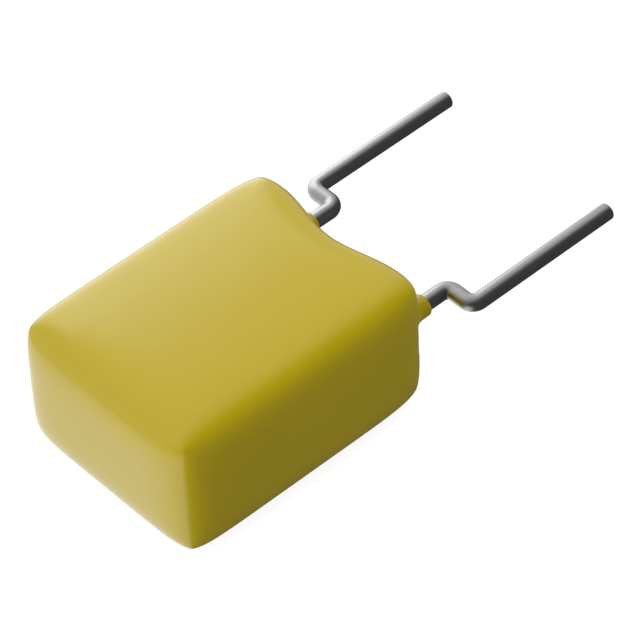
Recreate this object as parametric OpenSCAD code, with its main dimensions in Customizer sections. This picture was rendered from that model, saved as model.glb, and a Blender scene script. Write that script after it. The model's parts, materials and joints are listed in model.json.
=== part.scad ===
// Radial multilayer ceramic capacitor: a ceramic chip with interleaved electrodes,
// a wire soldered to each end cap, and a dipped epoxy coating over all of it.
// Millimetres. It lies on a broad face: +X across the leads, +Y to the lead tips, +Z up.
// The origin is under the middle of the whole length, on the face that it lies on.

/* [Coating] */
// Width across the leads
body_w = 5.54; // [5.4:0.01:6.6]
// Length from the plain end to the shoulders at the leads
body_l = 7.18; // [6.6:0.01:9]
// Thickness between the two broad faces
body_t = 3.7; // [3.3:0.01:5]
// Radius of the edges around both broad faces
edge_r = 0.84; // [0.5:0.01:0.85]
// Plan radius of the plain end's corners
plain_corner_r = 0.87; // [0.86:0.01:1.4]
// Plan radius of each shoulder's crest
shoulder_r = 1.93; // [1.3:0.01:2.2]
// Plan radius of the hollow between the shoulders
dip_r = 1.8; // [1.2:0.01:2.1]
// Depth of the hollow below the shoulders
dip_depth = 0.33; // [0.15:0.01:0.38]

/* [Coating cones at the leads] */
// Length of each cone, from the shoulder to its rim
cone_l = 0.55; // [0.4:0.01:0.9]
// Thickness of coating around the wire at the rim
cone_wall = 0.07; // [0.06:0.01:0.15]
// Straight collar below the rim
collar_l = 0.25; // [0.1:0.01:0.3]
// Radius of the concave flare below the collar
flare_r = 0.3; // [0.15:0.01:0.35]
// Angle of the skirt below the flare, from the lead's axis
skirt_a = 35; // [25:1:40]
// Depth that the skirt reaches into the shoulder
skirt_root = 0.3; // [0.25:0.01:0.4]
// Radius of the rim's outer edge
rim_round = 0.05; // [0.02:0.01:0.05]

/* [Leads] */
// Diameter of the wire
wire_d = 0.4; // [0.3:0.01:0.5]
// Distance between the two leads at their tips
lead_pitch = 5.08; // [4.95:0.01:7.62]
// Distance from the shoulders to the lead tips
lead_reach = 5.41; // [3:0.01:30]
// Distance from the shoulders to the kink's cross run
kink_reach = 1.26; // [1.1:0.01:2]
// Inner radius of the kink's bends
bend_inner_r = 0.02; // [0.02:0.01:0.1]

/* [Ceramic chip] */
// Length across both end caps
chip_l = 3.1; // [3:0.01:3.3]
// Width of the ceramic, along the leads
ceramic_w = 4.3; // [3.6:0.01:4.6]
// Thickness of the ceramic
ceramic_t = 2.3; // [1.6:0.01:2.6]
// Radius of the ceramic's tumbled edges
ceramic_edge_r = 0.12; // [0.05:0.01:0.2]
// Coating between the plain end and the chip
plain_end_cover = 1; // [0.6:0.01:1.3]

/* [End caps] */
// Thickness of the metal
cap_t = 0.08; // [0.04:0.01:0.12]
// Length that the metal wraps over the chip's four sides
cap_wrap = 0.5; // [0.3:0.01:0.7]

/* [Electrodes] */
// Layers that reach each end cap
layers_per_side = 5; // [3:1:6]
// Thickness of a layer
layer_t = 0.05; // [0.03:0.01:0.06]
// Plain ceramic above the top layer and below the bottom one
cover_t = 0.35; // [0.2:0.01:0.4]
// Plain ceramic beside the layers
side_margin = 0.3; // [0.15:0.01:0.5]
// Plain ceramic between a layer's free end and the other end cap
end_margin = 0.4; // [0.2:0.01:0.6]

/* [Solder joints] */
// Solder between the wire and the end cap
solder_film = 0.02; // [0.02:0.01:0.05]
// Thickness of solder around the wire
solder_wall = 0.14; // [0.08:0.01:0.2]
// Length of wire that lies along the end cap
wire_lap = 3; // [2:0.01:3.4]
// Solder past the wire's inner end
solder_tail = 0.2; // [0.1:0.01:0.3]
// Length of each tapered end of the bead
solder_taper = 0.35; // [0.2:0.01:0.6]

/* [Hidden] */
$fn = 64;

LEFT = -1;
RIGHT = 1;

// Lengths are counted from the plain end, and the finished part is moved to its origin
overall_l = body_l + lead_reach;
mid_z = body_t / 2;

// Leads
wire_r = wire_d / 2;
exit_x = chip_l / 2 + solder_film + wire_r;
lead_x = lead_pitch / 2;
bend_r = wire_r + bend_inner_r;
kink_y = body_l + kink_reach;
kink_run = lead_x - exit_x - 2 * bend_r;

// Chip
ceramic_l = chip_l - 2 * cap_t;
chip_w = ceramic_w + 2 * cap_t;
chip_mid_y = plain_end_cover + chip_w / 2;
chip_lead_end_y = plain_end_cover + chip_w;
wire_inner_y = chip_lead_end_y - wire_lap;

// Electrodes
layer_count = 2 * layers_per_side;
layer_l = ceramic_l - end_margin;
layer_w = ceramic_w - 2 * side_margin;
layer_pitch = (ceramic_t - 2 * cover_t - layer_t) / (layer_count - 1);
first_layer_z = mid_z - ceramic_t / 2 + cover_t;

// Solder
bead_r = wire_r + solder_wall;
bead_start_y = wire_inner_y - solder_tail;
bead_l = chip_lead_end_y - bead_start_y;

// Facets of the coating: steps in a quarter turn, in a crest and in half of the dip
QUARTER_STEPS = 8;
WAVE_STEPS = 4;

// Centres of the plan outline's arcs on the right: each shoulder's crest lies over its lead
lead_corner_r = body_w / 2 - exit_x;
plain_corner = [body_w / 2 - plain_corner_r, plain_corner_r];
lead_corner = [exit_x, body_l - lead_corner_r];
crest = [exit_x, body_l - shoulder_r];
dip = [0, body_l - dip_depth + dip_r];
// Slope of the straight stretch that touches both the crest and the dip
wave_r = shoulder_r + dip_r;
slope_a = atan2(crest.x, wave_r - dip_depth) - acos(wave_r / norm([wave_r - dip_depth, crest.x]));

// Points of an arc, each with the direction that faces out of the coating: [x, y, direction]
function arc(centre, r, from_a, to_a, steps, facing = 0) = [
    for (i = [0:steps])
        let (a = from_a + (to_a - from_a) * i / steps)
            [centre.x + r * cos(a), centre.y + r * sin(a), a + facing]
];
function mirrored(path) = [
    for (i = [len(path) - 1:-1:0])
        [-path[i].x, path[i].y, 180 - path[i].z]
];
function without_first(path) = [for (i = [1:len(path) - 1]) path[i]];

right_half = concat(
    arc(plain_corner, plain_corner_r, -90, 0, QUARTER_STEPS),
    arc(lead_corner, lead_corner_r, 0, 90, QUARTER_STEPS),
    without_first(arc(crest, shoulder_r, 90, 90 + slope_a, WAVE_STEPS))
);
dip_path = arc(dip, dip_r, 270 + slope_a, 270 - slope_a, 2 * WAVE_STEPS, facing = -180);
outline = concat(right_half, dip_path, mirrored(right_half));

// The rounded edges as levels of the outline, from the bottom up: [inset, height]
lower_edge = [
    for (i = [QUARTER_STEPS:-1:0])
        let (a = 90 * i / QUARTER_STEPS)
            edge_r * [1 - cos(a), 1 - sin(a)]
];
upper_edge = [
    for (i = [len(lower_edge) - 1:-1:0])
        [lower_edge[i].x, body_t - lower_edge[i].y]
];
levels = concat(lower_edge, upper_edge);

// Moves a piece from its place along the length to the part's origin
module in_frame() {
    translate([0, -overall_l / 2, 0]) children();
}

// Draws a piece on the right, or its mirror image on the left
module on_side(side) {
    mirror([side == LEFT ? 1 : 0, 0, 0]) children();
}

// Rounded block with its two shoulders, as if it were solid
module coating_block() {
    n = len(outline);
    top = (len(levels) - 1) * n;
    points = [
        for (level = levels, p = outline)
            [p.x - level[0] * cos(p.z), p.y - level[0] * sin(p.z), level[1]]
    ];
    sides = [
        for (row = [0:n:top - n], i = [0:n - 1])
            let (next = (i + 1) % n)
                [row + i, row + n + i, row + n + next, row + next]
    ];
    bottom_face = [for (i = [0:n - 1]) i];
    top_face = [for (i = [n - 1:-1:0]) top + i];
    polyhedron(points, concat([bottom_face, top_face], sides));
}

// Half section of the cone around a lead: x is the radius, y is the distance from the shoulder's crest
module cone_section() {
    rim_r = wire_r + cone_wall;
    flare_top = cone_l - collar_l;
    skirt_top = [rim_r + flare_r * (1 - cos(skirt_a)), flare_top - flare_r * sin(skirt_a)];
    root_r = skirt_top.x + (skirt_top.y + skirt_root) * tan(skirt_a);
    translate([0, -skirt_root]) {
        square([rim_r, skirt_root + cone_l - rim_round]);
        square([rim_r - rim_round, skirt_root + cone_l]);
    }
    translate([rim_r - rim_round, cone_l - rim_round]) circle(r = rim_round);
    difference() {
        polygon([[0, flare_top], [rim_r, flare_top], skirt_top, [root_r, -skirt_root], [0, -skirt_root]]);
        translate([rim_r + flare_r, flare_top]) circle(r = flare_r);
    }
}

module coating_cone(side) {
    on_side(side)
        translate([exit_x, body_l, mid_z])
            rotate([-90, 0, 0])
                rotate_extrude() cone_section();
}

// Bar along X with its four long edges rounded, centred on the chip
module chip_bar(l, w, t, r) {
    translate([-l / 2, chip_mid_y, mid_z])
        rotate([90, 0, 90])
            linear_extrude(l) {
                square([w - 2 * r, t], center = true);
                square([w, t - 2 * r], center = true);
                for (x = [-1, 1], y = [-1, 1])
                    translate([x * (w / 2 - r), y * (t / 2 - r)]) circle(r = r);
            }
}

module solid_ceramic() {
    chip_bar(ceramic_l, ceramic_w, ceramic_t, ceramic_edge_r);
}

// One layer: it starts at its own side's end cap and stops short of the other
module electrode_layer(side, z) {
    on_side(side)
        translate([ceramic_l / 2 - layer_l, chip_mid_y - layer_w / 2, z])
            cube([layer_l, layer_w, layer_t]);
}

// Every second layer of the stack belongs to the same side
module electrode_set(side) {
    first = side == LEFT ? 0 : 1;
    for (i = [first:2:layer_count - 1])
        electrode_layer(side, first_layer_z + i * layer_pitch);
}

module end_cap(side) {
    on_side(side)
        difference() {
            translate([chip_l / 2 - (cap_t + cap_wrap) / 2, 0, 0])
                chip_bar(cap_t + cap_wrap, chip_w, ceramic_t + 2 * cap_t, ceramic_edge_r + cap_t);
            solid_ceramic();
        }
}

// Round wire along +Y from a point on the leads' plane
module wire_along_y(x, y, l) {
    translate([x, y, mid_z]) rotate([-90, 0, 0]) cylinder(r = wire_r, h = l);
}

// Quarter turn of the wire around a point on the leads' plane
module wire_bend(x, y, from_a) {
    translate([x, y, mid_z])
        rotate(from_a)
            rotate_extrude(angle = 90) translate([bend_r, 0]) circle(r = wire_r);
}

module lead(side) {
    on_side(side) {
        wire_along_y(exit_x, wire_inner_y, kink_y - bend_r - wire_inner_y);
        wire_bend(exit_x + bend_r, kink_y - bend_r, 90);
        translate([exit_x + bend_r, kink_y, mid_z]) rotate([0, 90, 0]) cylinder(r = wire_r, h = kink_run);
        wire_bend(lead_x - bend_r, kink_y + bend_r, 270);
        wire_along_y(lead_x, kink_y + bend_r, overall_l - kink_y - bend_r);
    }
}

// The bead tapers to the wire at both ends and is cut off flat by the end cap
module solder_bead(side) {
    on_side(side)
        difference() {
            translate([exit_x, bead_start_y, mid_z]) rotate([-90, 0, 0]) {
                cylinder(r1 = wire_r, r2 = bead_r, h = solder_taper);
                translate([0, 0, solder_taper]) cylinder(r = bead_r, h = bead_l - 2 * solder_taper);
                translate([0, 0, bead_l - solder_taper]) cylinder(r1 = bead_r, r2 = wire_r, h = solder_taper);
            }
            translate([chip_l / 2 - bead_r, bead_start_y - solder_tail, mid_z - bead_r])
                cube([bead_r, bead_l + 2 * solder_tail, 2 * bead_r]);
        }
}

module solder_joint(side) {
    difference() {
        solder_bead(side);
        lead(side);
    }
}

// Everything that the coating encloses, so that its cavity fits without a gap
module coated_pieces() {
    solid_ceramic();
    for (side = [LEFT, RIGHT]) {
        end_cap(side);
        solder_bead(side);
        lead(side);
    }
}

module epoxy_coating() {
    color("goldenrod") in_frame() difference() {
        union() {
            coating_block();
            coating_cone(LEFT);
            coating_cone(RIGHT);
        }
        coated_pieces();
    }
}

module ceramic_block() {
    color("tan") in_frame() difference() {
        solid_ceramic();
        electrode_set(LEFT);
        electrode_set(RIGHT);
    }
}

module left_electrodes() {
    color("dimgray") in_frame() electrode_set(LEFT);
}

module right_electrodes() {
    color("gray") in_frame() electrode_set(RIGHT);
}

module left_end_cap() {
    color("lightgray") in_frame() end_cap(LEFT);
}

module right_end_cap() {
    color("lightgray") in_frame() end_cap(RIGHT);
}

module left_solder_joint() {
    color("gainsboro") in_frame() solder_joint(LEFT);
}

module right_solder_joint() {
    color("gainsboro") in_frame() solder_joint(RIGHT);
}

module left_lead() {
    color("silver") in_frame() lead(LEFT);
}

module right_lead() {
    color("silver") in_frame() lead(RIGHT);
}

epoxy_coating();
ceramic_block();
left_electrodes();
right_electrodes();
left_end_cap();
right_end_cap();
left_solder_joint();
right_solder_joint();
left_lead();
right_lead();
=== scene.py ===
# %% [markdown]
# # A dipped ceramic capacitor
# This lesson dresses a small radial capacitor for a studio picture. The real one is a layered ceramic
# chip with a wire soldered to each end, dipped in yellow epoxy and baked. Its solids come in as a fixed
# frame at their real size, and nothing in that frame is moved. What the eye meets is made here: a coat
# with soft unbroken curves, two round tinned wires, and a finish for every surface.

import json
import math

import bmesh
import bpy
from mathutils import Matrix, Vector

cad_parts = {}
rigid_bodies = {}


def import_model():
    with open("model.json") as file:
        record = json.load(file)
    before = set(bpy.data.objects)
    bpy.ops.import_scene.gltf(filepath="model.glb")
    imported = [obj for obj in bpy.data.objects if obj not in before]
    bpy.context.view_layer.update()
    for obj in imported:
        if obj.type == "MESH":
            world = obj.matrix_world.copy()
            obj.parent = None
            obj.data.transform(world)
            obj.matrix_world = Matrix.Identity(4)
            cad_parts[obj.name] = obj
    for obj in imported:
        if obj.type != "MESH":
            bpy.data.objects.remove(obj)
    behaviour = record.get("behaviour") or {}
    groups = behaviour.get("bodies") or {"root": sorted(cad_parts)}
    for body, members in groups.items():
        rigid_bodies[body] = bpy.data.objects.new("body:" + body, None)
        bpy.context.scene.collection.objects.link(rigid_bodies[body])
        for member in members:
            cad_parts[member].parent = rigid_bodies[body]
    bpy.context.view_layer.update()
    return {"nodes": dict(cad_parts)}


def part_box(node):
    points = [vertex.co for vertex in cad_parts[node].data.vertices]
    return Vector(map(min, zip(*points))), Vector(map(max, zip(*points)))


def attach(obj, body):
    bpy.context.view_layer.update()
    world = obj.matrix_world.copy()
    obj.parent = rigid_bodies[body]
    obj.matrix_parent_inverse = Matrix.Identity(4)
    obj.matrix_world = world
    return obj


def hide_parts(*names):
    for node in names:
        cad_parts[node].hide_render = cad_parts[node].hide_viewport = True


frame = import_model()
print("frame:", ", ".join(sorted(frame["nodes"])))

# %% [markdown]
# ## Measures
# Places are read from the frame, so the new skin cannot drift away from the solids. Only what a box
# cannot tell, such as the length of a cone, is written out, in millimetres turned into metres.

# %% Read the measures
MM = 0.001

coat_low, coat_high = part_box("epoxy_coating")
lead_low, lead_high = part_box("right_lead")
mid_z = (coat_low.z + coat_high.z) / 2
wire_r = mid_z - lead_low.z
exit_x = lead_low.x + wire_r
tip_x = lead_high.x - wire_r
tip_y = lead_high.y
rim_y = coat_high.y

CONE_L = 0.55 * MM
shoulder_y = rim_y - CONE_L
body_w = coat_high.x - coat_low.x
body_l = shoulder_y - coat_low.y
body_t = coat_high.z - coat_low.z
print("body:", [round(v / MM, 2) for v in (body_w, body_l, body_t)])
print("wire:", [round(v / MM, 2) for v in (wire_r, exit_x, tip_x)])

# %% [markdown]
# ## Picking by place
# By hand, a piece of a mesh is clicked on. A script says where it lies instead, so this helper selects
# every vertex, edge or face whose corners all pass a test. All else is left unselected, because
# an operator works on whatever is selected.

# %% A helper that selects by place
NEAR = 1e-7
QUARTER = math.radians(90)
ALONG_Y = (QUARTER, 0, 0)
SHARP_TURN = math.radians(40)
ROUND_PROFILE = 0.5
HALF_WAY = 0.5


def near(a, b):
    return abs(a - b) < NEAR


def pick(kind, corner_test, part_test=lambda part: True):
    """Selects the parts of the mesh in edit mode whose corners all pass a test of their place."""
    bpy.ops.mesh.select_mode(type=kind)
    bpy.ops.mesh.select_all(action="DESELECT")
    mesh = bmesh.from_edit_mesh(bpy.context.edit_object.data)
    parts = {"VERT": mesh.verts, "EDGE": mesh.edges, "FACE": mesh.faces}[kind]
    count = 0
    for part in parts:
        corners = [part] if kind == "VERT" else part.verts
        if all(corner_test(corner.co) for corner in corners) and part_test(part):
            part.select_set(True)
            count += 1
    mesh.select_flush_mode()
    bmesh.update_edit_mesh(bpy.context.edit_object.data)
    return count


def is_upright(edge):
    return not near(edge.verts[0].co.z, edge.verts[1].co.z)


def is_open(edge):
    return len(edge.link_faces) < 2


def anywhere(place):
    return True


def start_piece(name):
    """Names the primitive that was just added, puts its place in its mesh and opens it for editing."""
    piece = bpy.context.object
    piece.name = name
    piece.data.name = name
    bpy.ops.object.transform_apply(location=True, rotation=True, scale=True)
    bpy.ops.object.mode_set(mode="EDIT")
    return piece


def soft(reach):
    """The settings that make a move carry its surroundings along, less and less up to a reach."""
    return {
        "use_proportional_edit": True,
        "proportional_edit_falloff": "SMOOTH",
        "proportional_size": reach,
    }


# %% [markdown]
# ## The coat's block
# The coat starts as a block with a hollow between the two shoulders where the wires leave. A cube would
# do for the block, but here it is made of small even cells, because the next step rounds it by moving
# them. A flat grid gives the plan. The middle of its lead end is pushed in with a soft falloff, and so
# is each corner, the shoulders' most, because resin runs thin there. The plan is then pulled up to the
# full thickness and cut into rows. It starts a little long, since the rounding draws the shoulders back.

# %% Stack the block
CELL = 0.08 * MM
DIP = 0.53 * MM
SETTLE = 0.055 * MM
PLAIN_CUT = 0.035 * MM
SHOULDER_CUT = 0.12 * MM
CORNER_REACH = 1.0 * MM


def cells(length):
    """An even count of cells, so that a line of vertices lies in the middle."""
    return 2 * round(length / CELL / 2)


bpy.ops.object.select_all(action="DESELECT")
block_l = body_l + SETTLE
block_end = coat_low.y + block_l
bpy.ops.mesh.primitive_grid_add(
    x_subdivisions=cells(body_w),
    y_subdivisions=cells(block_l),
    size=block_l,
    location=(0, coat_low.y + block_l / 2, coat_low.z),
)
coat = start_piece("coat")
bpy.ops.transform.resize(value=(body_w / block_l, 1, 1))
pick("VERT", lambda p: near(p.y, block_end) and near(p.x, 0))
bpy.ops.transform.translate(value=(0, -DIP, 0), **soft(exit_x))
for end_y, inward, cut in ((coat_low.y, 1, PLAIN_CUT), (block_end, -1, SHOULDER_CUT)):
    pick("VERT", lambda p: near(p.y, end_y) and near(abs(p.x), body_w / 2))
    bpy.ops.transform.translate(value=(0, inward * cut, 0), **soft(CORNER_REACH))
    bpy.ops.transform.resize(value=(1 - 2 * cut / body_w, 1, 1), **soft(CORNER_REACH))
bpy.ops.mesh.select_all(action="SELECT")
bpy.ops.mesh.extrude_region_move(TRANSFORM_OT_translate={"value": (0, 0, body_t)})
pick("EDGE", anywhere, is_upright)
bpy.ops.mesh.subdivide(number_cuts=cells(body_t) - 1)
print("block:", len(bmesh.from_edit_mesh(coat.data).faces), "faces")

# %% [markdown]
# ## The coat's soft edges
# Wet resin has no fixed radius: it draws itself tight over an edge and runs out slowly on both sides.
# A bevel makes an even arc with a visible start and end. Smoothing every vertex towards its neighbours,
# pass after pass, lets the edges melt as the resin did, and the broad faces stay flat.

# %% Melt the edges
MELT_PASSES = 224

bpy.ops.mesh.select_all(action="SELECT")
bpy.ops.mesh.normals_make_consistent(inside=False)
bpy.ops.mesh.vertices_smooth(factor=HALF_WAY, repeat=MELT_PASSES)
tops = [vert.co.y for vert in bmesh.from_edit_mesh(coat.data).verts]
print("shoulders:", round((max(tops) - shoulder_y) / MM, 3), "mm from their place")

# %% [markdown]
# ## The coat's two cones
# Resin climbs a wire that is pulled out of it and dries as a small cone. A cone could be joined on by
# a Boolean, but that leaves a hard crease. Here a window is opened in the wall around each wire, a short
# collar is set in front of it, and a bridge between their edges draws the smooth flare of the real one.
# The window's edge goes round in steps, from face to face, so the flare and a strip of the wall around
# it are smoothed until no step is left.

# %% Raise a collar on the wall and bridge its flare
RIM_WALL = 0.07 * MM
RIM_ROUND = 0.05 * MM
RIM_STEPS = 4
COLLAR_L = 0.22 * MM
WINDOW_R = 0.68 * MM
FLARE_CUTS = 10
FLARE_R = 0.85 * MM
FLARE_PASSES = 20
rim_r = wire_r + RIM_WALL


def raise_cone(side):
    """Gives the coat its cone at one wire: +1 is the right wire, -1 is the left one."""
    axis_x = side * exit_x

    def from_wire(p):
        return math.hypot(p.x - axis_x, p.z - mid_z)

    def in_window(p):
        return p.y > 0 and from_wire(p) < WINDOW_R

    def on_rim(p):
        return near(p.y, rim_y) and near(from_wire(p), rim_r)

    def on_flare(p):
        return 0 < p.y < rim_y - COLLAR_L - NEAR and wire_r + NEAR < from_wire(p) < FLARE_R

    pick("FACE", in_window)
    bpy.ops.mesh.delete(type="FACE")
    open_edges = pick("EDGE", anywhere, is_open)
    bpy.ops.mesh.primitive_circle_add(
        vertices=open_edges, radius=rim_r, location=(axis_x, rim_y - COLLAR_L, mid_z), rotation=ALONG_Y
    )
    bpy.ops.mesh.extrude_region_move(TRANSFORM_OT_translate={"value": (0, COLLAR_L, 0)})
    bpy.ops.mesh.edge_face_add()
    bpy.ops.mesh.inset(thickness=RIM_WALL)
    bpy.ops.mesh.extrude_region_move(TRANSFORM_OT_translate={"value": (0, lead_low.y - rim_y, 0)})
    pick("EDGE", on_rim)
    bpy.ops.mesh.bevel(offset=RIM_ROUND, segments=RIM_STEPS, profile=ROUND_PROFILE, affect="EDGES")
    pick("EDGE", anywhere, is_open)
    bpy.ops.mesh.bridge_edge_loops(
        number_cuts=FLARE_CUTS, interpolation="SURFACE", smoothness=1.0, profile_shape_factor=0.0
    )
    pick("VERT", on_flare)
    bpy.ops.mesh.vertices_smooth(factor=HALF_WAY, repeat=FLARE_PASSES)
    print("cone:", open_edges, "sides at x =", round(axis_x / MM, 2))


raise_cone(1)
raise_cone(-1)

# %% [markdown]
# ## Finish the coat's mesh
# The coat is shaded smooth, apart from the sharp turn at each rim, where the resin ends on the wire.

# %% Shade the coat
bpy.ops.mesh.select_all(action="SELECT")
bpy.ops.mesh.normals_make_consistent(inside=False)
print("open edges:", pick("EDGE", anywhere, is_open))
bpy.ops.object.mode_set(mode="OBJECT")
bpy.ops.object.shade_smooth_by_angle(angle=SHARP_TURN)
print("coat:", len(coat.data.polygons), "faces")

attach(coat, "root")
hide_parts("epoxy_coating")

# %% [markdown]
# ## The wires
# Each lead is one round wire with a kink that keeps the body off a circuit board. A curve with a round
# bevel would do, but pulling a disc along its way gives full control of the bends: extrude where
# the wire runs straight, and spin the same disc a quarter turn around each bend's centre.

# %% Pull the right wire
WIRE_SIDES = 48
BEND_INNER_R = 0.02 * MM
BEND_STEPS = 16
KINK_REACH = 1.26 * MM
TIP_ROUND = 0.03 * MM
TIP_STEPS = 4
kink_y = shoulder_y + KINK_REACH
bend_r = wire_r + BEND_INNER_R


def pull(x, y):
    """Extrudes what is selected by a step across and along the wires."""
    bpy.ops.mesh.extrude_region_move(TRANSFORM_OT_translate={"value": (x, y, 0)})


def bend(x, y, angle):
    """Spins what is selected around an upright line through a point on the wires' plane."""
    bpy.ops.mesh.spin(steps=BEND_STEPS, angle=angle, center=(x, y, mid_z), axis=(0, 0, 1))


bpy.ops.object.select_all(action="DESELECT")
bpy.ops.mesh.primitive_circle_add(
    vertices=WIRE_SIDES,
    radius=wire_r,
    fill_type="NGON",
    location=(exit_x, lead_low.y, mid_z),
    rotation=ALONG_Y,
)
right_wire = start_piece("right_wire")
bpy.ops.mesh.select_mode(type="FACE")
pull(0, kink_y - bend_r - lead_low.y)
bend(exit_x + bend_r, kink_y - bend_r, QUARTER)
pull(tip_x - exit_x - 2 * bend_r, 0)
bend(tip_x - bend_r, kink_y + bend_r, -QUARTER)
pull(0, tip_y - kink_y - bend_r)
pick("EDGE", lambda p: near(p.y, tip_y))
bpy.ops.mesh.bevel(offset=TIP_ROUND, segments=TIP_STEPS, profile=ROUND_PROFILE, affect="EDGES")
bpy.ops.mesh.select_all(action="SELECT")
bpy.ops.mesh.remove_doubles(threshold=NEAR)
bpy.ops.mesh.normals_make_consistent(inside=False)
print("open edges:", pick("EDGE", anywhere, is_open))
print("shared edges:", pick("EDGE", anywhere, lambda edge: len(edge.link_faces) > 2))
bpy.ops.object.mode_set(mode="OBJECT")
bpy.ops.object.shade_smooth_by_angle(angle=SHARP_TURN)
print("wire:", len(right_wire.data.polygons), "faces")
print("length:", round(right_wire.dimensions.y / MM, 2))

# %% [markdown]
# The left wire is the mirror image of the right one, so it is copied and not pulled again. A mirror
# turns every face inside out, which is why the copy's normals are worked out once more.

# %% Mirror it for the left
bpy.ops.object.select_all(action="DESELECT")
right_wire.select_set(True)
bpy.context.view_layer.objects.active = right_wire
bpy.ops.object.duplicate(linked=False)
left_wire = bpy.context.object
left_wire.scale.x = -1
left_wire = start_piece("left_wire")
bpy.ops.mesh.select_all(action="SELECT")
bpy.ops.mesh.normals_make_consistent(inside=False)
bpy.ops.object.mode_set(mode="OBJECT")
for wire, node in ((right_wire, "right_lead"), (left_wire, "left_lead")):
    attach(wire, "root")
    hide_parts(node)
    print(wire.name, "stands for", node)

# %% [markdown]
# ## Shader sums
# A material is a graph of nodes, and even a short sum takes several of them. This class wraps a node's
# output so that the sum can be written as one, and its node method adds any other kind of node.

# %% A value on its way through the nodes
MIX_A = 6
MIX_B = 7
MIX_RESULT = 2


class Flow:
    """One output of a node tree. Sums on it add Math nodes."""

    def __init__(self, tree, socket=None):
        self.tree = tree
        self.socket = socket

    def node(self, kind, settings=(), sockets=(), output=0):
        """Adds a node: its settings first, then its sockets' values or links."""
        made = self.tree.nodes.new(kind)
        for name, value in dict(settings).items():
            setattr(made, name, value)
        for key, value in dict(sockets).items():
            if isinstance(value, Flow):
                self.tree.links.new(value.socket, made.inputs[key])
            else:
                made.inputs[key].default_value = value
        return Flow(self.tree, made.outputs[output])

    def sum_node(self, operation, a, b):
        return self.node("ShaderNodeMath", {"operation": operation}, {0: a, 1: b})

    def __add__(self, other):
        return self.sum_node("ADD", self, other)

    def __radd__(self, other):
        return self.sum_node("ADD", other, self)

    def __sub__(self, other):
        return self.sum_node("SUBTRACT", self, other)

    def __rsub__(self, other):
        return self.sum_node("SUBTRACT", other, self)

    def __mul__(self, other):
        return self.sum_node("MULTIPLY", self, other)

    def __rmul__(self, other):
        return self.sum_node("MULTIPLY", other, self)


def new_finish(name, **constants):
    """Starts a material: returns it, its shader's sockets, and a flow of object coordinates."""
    finish = bpy.data.materials.new(name)
    finish.use_nodes = True
    shader = finish.node_tree.nodes["Principled BSDF"]
    for socket, value in constants.items():
        shader.inputs[socket.replace("_", " ")].default_value = value
    place = Flow(finish.node_tree).node("ShaderNodeTexCoord", output="Object")
    return finish, shader.inputs, place


def feed(socket, flow):
    flow.tree.links.new(flow.socket, socket)


def noise(place, size, detail=2.0, stretch=(1, 1, 1)):
    """Soft noise with patches of about a given size, which may be stretched along an axis."""
    spread = place.node("ShaderNodeMapping", {}, {"Vector": place, "Scale": stretch})
    sockets = {"Vector": spread, "Scale": 1 / size, "Detail": detail}
    return place.node("ShaderNodeTexNoise", {}, sockets)


def blend(factor, colour_a, colour_b):
    """Mixes two colours by a value from 0 to 1. The Mix node's colour sockets go by number."""
    sockets = {"Factor": factor, MIX_A: (*colour_a, 1), MIX_B: (*colour_b, 1)}
    return factor.node("ShaderNodeMix", {"data_type": "RGBA"}, sockets, output=MIX_RESULT)


def put(finish, *pieces):
    for piece in pieces:
        piece.data.materials.clear()
        piece.data.materials.append(finish)


# %% [markdown]
# ## Epoxy
# The coat is a filled yellow resin under its own smooth skin. Pigment settles a little unevenly, and
# the skin is never quite level, so the colour drifts slightly and the gloss carries a faint waviness.
# A painted image could carry both, but noise that reads the object's own coordinates has no seam.

# %% Mix the epoxy
EPOXY_DEEP = (0.272, 0.208, 0.002)
EPOXY_PALE = (0.286, 0.219, 0.002)
PIGMENT_PATCH = 1.6 * MM
GLOSS_PATCH = 0.5 * MM
EPOXY_ROUGH = 0.11
EPOXY_ROUGH_SPREAD = 0.04
WAVE_L = 1.1 * MM
WAVE_H = 0.0015 * MM

epoxy, sockets, place = new_finish("dipped_epoxy", IOR=1.57)
drift = noise(place, PIGMENT_PATCH)
feed(sockets["Base Color"], blend(drift, EPOXY_DEEP, EPOXY_PALE))
feed(sockets["Roughness"], EPOXY_ROUGH + EPOXY_ROUGH_SPREAD * noise(place, GLOSS_PATCH))
wave = place.node(
    "ShaderNodeBump", {}, {"Strength": 1.0, "Distance": WAVE_H, "Height": noise(place, WAVE_L)}
)
feed(sockets["Normal"], wave)
put(epoxy, coat)
print("epoxy:", len(epoxy.node_tree.nodes), "nodes")

# %% [markdown]
# ## Tinned wire
# Copper-clad steel wire is drawn through a die and tinned. It mirrors the room, softened by fine lines
# that the die left along it. Cut lines would cost far too many faces, so noise that is drawn out along
# the wire stands for them.

# %% Mix the tin
TIN_DARK = (0.38, 0.38, 0.38)
TIN_PALE = (0.42, 0.42, 0.42)
LINE_W = 0.03 * MM
DRAWN_OUT = (1, 0.03, 1)
TIN_ROUGH = 0.3
TIN_ROUGH_SPREAD = 0.08

tin, sockets, place = new_finish("tinned_wire", Metallic=1.0)
lines = noise(place, LINE_W, stretch=DRAWN_OUT)
feed(sockets["Base Color"], blend(lines, TIN_DARK, TIN_PALE))
feed(sockets["Roughness"], TIN_ROUGH + TIN_ROUGH_SPREAD * lines)
put(tin, right_wire, left_wire)
print("tin:", len(tin.node_tree.nodes), "nodes")

# %% [markdown]
# ## The chip inside
# Nobody sees the chip while the coat is whole, but a part that may be cut open or taken apart on screen
# needs its inner finishes too: fired ceramic, nickel layers, tinned end caps and solder. They differ
# only in colour and grain, so one function mixes all four.

# %% Mix the inner finishes
nodes = frame["nodes"]


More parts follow.
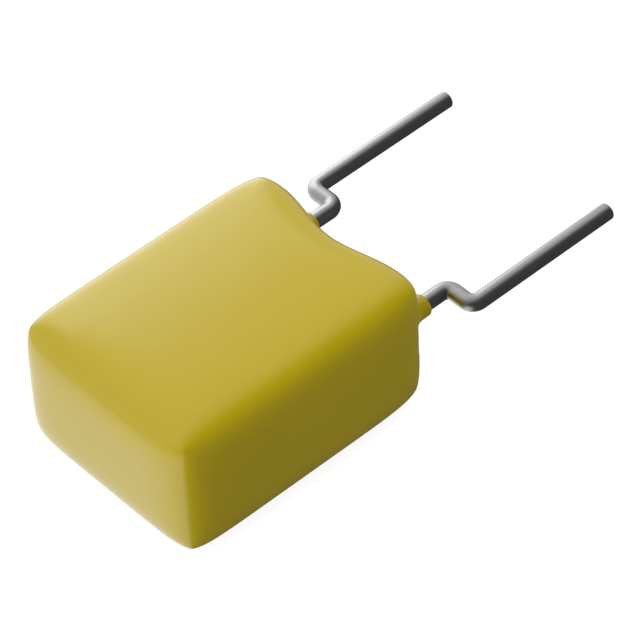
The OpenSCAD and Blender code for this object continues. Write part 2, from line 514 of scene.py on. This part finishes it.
def mix_grained(name, metallic, grain_size, detail, dark, pale, smoothest, spread, node_names):
    """Mixes a finish whose colour and roughness follow one grain, and puts it on some of the solids."""
    finish, sockets, place = new_finish(name, Metallic=metallic)
    grain = noise(place, grain_size, detail=detail)
    feed(sockets["Base Color"], blend(grain, dark, pale))
    feed(sockets["Roughness"], smoothest + spread * grain)
    put(finish, *[nodes[node_name] for node_name in node_names])
    print(name, "on", ", ".join(node_names))


mix_grained(
    "fired_ceramic",
    metallic=0.0,
    grain_size=0.05 * MM,
    detail=4.0,
    dark=(0.44, 0.33, 0.2),
    pale=(0.56, 0.43, 0.28),
    smoothest=0.55,
    spread=0.25,
    node_names=["ceramic_block"],
)
mix_grained(
    "fired_nickel",
    metallic=1.0,
    grain_size=0.03 * MM,
    detail=2.0,
    dark=(0.34, 0.33, 0.31),
    pale=(0.42, 0.41, 0.39),
    smoothest=0.4,
    spread=0.2,
    node_names=["left_electrodes", "right_electrodes"],
)
mix_grained(
    "plated_end_cap",
    metallic=1.0,
    grain_size=0.04 * MM,
    detail=2.0,
    dark=(0.62, 0.62, 0.6),
    pale=(0.74, 0.74, 0.72),
    smoothest=0.3,
    spread=0.15,
    node_names=["left_end_cap", "right_end_cap"],
)
mix_grained(
    "solder",
    metallic=1.0,
    grain_size=0.12 * MM,
    detail=3.0,
    dark=(0.55, 0.56, 0.57),
    pale=(0.66, 0.67, 0.68),
    smoothest=0.18,
    spread=0.2,
    node_names=["left_solder_joint", "right_solder_joint"],
)

# %% [markdown]
# ## The camera
# The picture was taken from far away with a long lens, from the plain end and to the right of it.
# A constraint could aim the camera, but writing out its three axes also sets the picture's slight roll.

# %% Set the camera
CAMERA_AZIMUTH = math.radians(49.117)
CAMERA_HEIGHT = math.radians(45.812)
CAMERA_ROLL = math.radians(2.661)
CAMERA_DISTANCE = 92.845 * MM
CAMERA_ANGLE = math.radians(8.71)
LOOK_AT = Vector((-0.809, 0.69, 0)) * MM
NEAR_CLIP = 1 * MM
FAR_CLIP = 10

back = Vector((
    math.sin(CAMERA_AZIMUTH) * math.cos(CAMERA_HEIGHT),
    -math.cos(CAMERA_AZIMUTH) * math.cos(CAMERA_HEIGHT),
    math.sin(CAMERA_HEIGHT),
))
level_right = Vector((math.cos(CAMERA_AZIMUTH), math.sin(CAMERA_AZIMUTH), 0))
level_up = back.cross(level_right)
right = level_right * math.cos(CAMERA_ROLL) - level_up * math.sin(CAMERA_ROLL)
up = level_right * math.sin(CAMERA_ROLL) + level_up * math.cos(CAMERA_ROLL)
camera_at = LOOK_AT + back * CAMERA_DISTANCE

lens = bpy.data.cameras.new("camera")
lens.angle = CAMERA_ANGLE
lens.clip_start = NEAR_CLIP
lens.clip_end = FAR_CLIP
camera = bpy.data.objects.new("camera", lens)
bpy.context.scene.collection.objects.link(camera)
camera.matrix_world = Matrix.Translation(camera_at) @ Matrix((right, up, back)).transposed().to_4x4()
bpy.context.scene.camera = camera
print("camera:", round(camera_at.length / MM, 1), "mm away")

# %% [markdown]
# ## Floor and light
# A small part is often shot on a light table. The pale floor glows by itself, so it stays white right up
# to the part, lights its sides from below and lets only a trace of shadow show. It lies a hair below
# the part, because two faces in one plane would flicker. Gloss looks straight through it to the walls.

# %% Lay the floor
FLOOR_SIZE = 1.0
FLOOR_GAP = 0.01 * MM
PAPER_DARK = (0.1, 0.1, 0.1)
PAPER_PALE = (0.12, 0.12, 0.12)
PAPER_PATCH = 4 * MM
WHITE = (1, 1, 1, 1)

bpy.ops.object.select_all(action="DESELECT")
bpy.ops.mesh.primitive_plane_add(size=FLOOR_SIZE, location=(0, 0, coat_low.z - FLOOR_GAP))
floor = start_piece("floor")
bpy.ops.object.mode_set(mode="OBJECT")
paper, sockets, place = new_finish("pale_floor", Roughness=0.9, Emission_Strength=0.9)
feed(sockets["Base Color"], blend(noise(place, PAPER_PATCH), PAPER_DARK, PAPER_PALE))
sockets["Emission Color"].default_value = WHITE
put(paper, floor)
floor.visible_glossy = False
print("floor:", round(FLOOR_GAP / MM, 2), "mm below the part")

# %% [markdown]
# Gloss shows what stands around it, so the room is painted as a glow that changes with the direction.
# The walls on the part's left are bright. They fade towards its right, towards the far corner behind it
# and towards their foot, because a surface seen edge-on mirrors what lies behind and below it, and a
# dark foot draws a crisp line there. Low down in front the glow is at its strongest, for the plain end.

# %% Paint the room
DARK_WALL = 0.085
LEFT_GLOW = 0.85
FRONT_GLOW = 1.22
TO_LEFT = (-0.94, 0, 0.34)
TO_FRONT_LEFT = (-0.72, -0.69, 0)
TO_FLOOR = (0, 0, -1)
UPWARD = (0, 0, 1)
RIGHT_FADE = (-0.25, 0.55)
CORNER_FADE = (-0.7, -0.3)
FRONT_FADE = (-0.05, 0.2)
FLOOR_FADE = (0.0, 0.5)
FOOT_FADE = (-0.35, -0.05)

studio = bpy.data.worlds.new("studio")
bpy.context.scene.world = studio
studio.use_nodes = True
background = studio.node_tree.nodes["Background"]
direction = Flow(studio.node_tree).node("ShaderNodeTexCoord", output="Generated")


def ramp(flow, axis, start, end):
    """Goes from 0 to 1 while a direction's or a place's share along an axis goes from start to end."""
    share = flow.node(
        "ShaderNodeVectorMath", {"operation": "DOT_PRODUCT"}, {0: flow, 1: axis}, output="Value"
    )
    return share.node("ShaderNodeMapRange", {}, {"Value": share, "From Min": start, "From Max": end})


left_side = ramp(direction, TO_LEFT, *RIGHT_FADE) * ramp(direction, TO_FRONT_LEFT, *CORNER_FADE)
lit_walls = left_side * ramp(direction, UPWARD, *FOOT_FADE)
walls = DARK_WALL + (LEFT_GLOW - DARK_WALL) * lit_walls
low_front = ramp(direction, TO_FRONT_LEFT, *FRONT_FADE) * ramp(direction, TO_FLOOR, *FLOOR_FADE)
glow = walls + low_front * (FRONT_GLOW - walls)
background.inputs["Color"].default_value = WHITE
feed(background.inputs["Strength"], glow)
print("room:", len(studio.node_tree.nodes), "nodes")

# %% [markdown]
# The coat's own colour needs plain light as well. One softbox hangs in front of the part and one behind
# it. They are kept out of reflections, where their square shape would show.

# %% Hang the softboxes
SOFTBOX_SIZE = 100 * MM
FRONT_SOFTBOX = Vector((12, -118, 75)) * MM
REAR_SOFTBOX = Vector((8, 108, 94)) * MM
FRONT_POWER = 0.24
REAR_POWER = 0.25


def hang_lamp(name, lamp_at, facing, width, height, power):
    """Adds a rectangle of light that faces a point and that the camera does not see."""
    light = bpy.data.lights.new(name, "AREA")
    light.shape = "RECTANGLE"
    light.size = width
    light.size_y = height
    light.energy = power
    lamp = bpy.data.objects.new(name, light)
    bpy.context.scene.collection.objects.link(lamp)
    lamp.location = lamp_at
    lamp.rotation_euler = (lamp_at - facing).to_track_quat("Z", "Y").to_euler()
    lamp.visible_camera = False
    return lamp


part_foot = Vector((0, 0, 0))
for name, softbox_at, power in (
    ("front_softbox", FRONT_SOFTBOX, FRONT_POWER),
    ("rear_softbox", REAR_SOFTBOX, REAR_POWER),
):
    softbox = hang_lamp(name, softbox_at, part_foot, SOFTBOX_SIZE, SOFTBOX_SIZE, power)
    softbox.visible_glossy = False
    print(name, "hangs", round(softbox_at.length / MM), "mm away")

# %% [markdown]
# A wall of light stands close by on the left. The flat top mirrors its upper edge, so the top is pale
# along its left and deeper in colour on its right. A plain lamp would show hard edges in the gloss, so
# this one fades towards all four of its edges: its nodes read the place on the lamp.

# %% Stand the wall of light
WALL_X = -20 * MM
WALL_NEAR_END = -8 * MM
WALL_FAR_END = 23 * MM
WALL_FOOT = -4 * MM
WALL_GLOW = 1.45
FADE_X = -1.3 * MM
SOFT_END = 9 * MM
SOFT_FOOT = 4 * MM
SOFT_TOP = 3 * MM
ALONG = (0, 1, 0)

fade_z = coat_high.z + (FADE_X - WALL_X) * back.z / back.x
wall_top = fade_z + SOFT_TOP / 2
wall_w = WALL_FAR_END - WALL_NEAR_END
wall_h = wall_top - WALL_FOOT
wall_mid = Vector((WALL_X, WALL_NEAR_END + wall_w / 2, WALL_FOOT + wall_h / 2))
wall_power = WALL_GLOW * math.pi * wall_w * wall_h
wall = hang_lamp("wall", wall_mid, wall_mid + Vector((1, 0, 0)), wall_w, wall_h, wall_power)
wall.data.use_nodes = True
spot = Flow(wall.data.node_tree).node("ShaderNodeNewGeometry", output="Position")
soft_ends = ramp(spot, ALONG, WALL_NEAR_END, WALL_NEAR_END + SOFT_END) * ramp(
    spot, ALONG, WALL_FAR_END, WALL_FAR_END - SOFT_END
)
soft_rims = ramp(spot, UPWARD, WALL_FOOT, WALL_FOOT + SOFT_FOOT) * ramp(
    spot, UPWARD, wall_top, wall_top - SOFT_TOP
)
feed(wall.data.node_tree.nodes["Emission"].inputs["Strength"], soft_ends * soft_rims)
print("wall:", round(wall_w / MM, 1), "by", round(wall_h / MM, 1), "mm")

bpy.context.scene.view_settings.view_transform = "Standard"
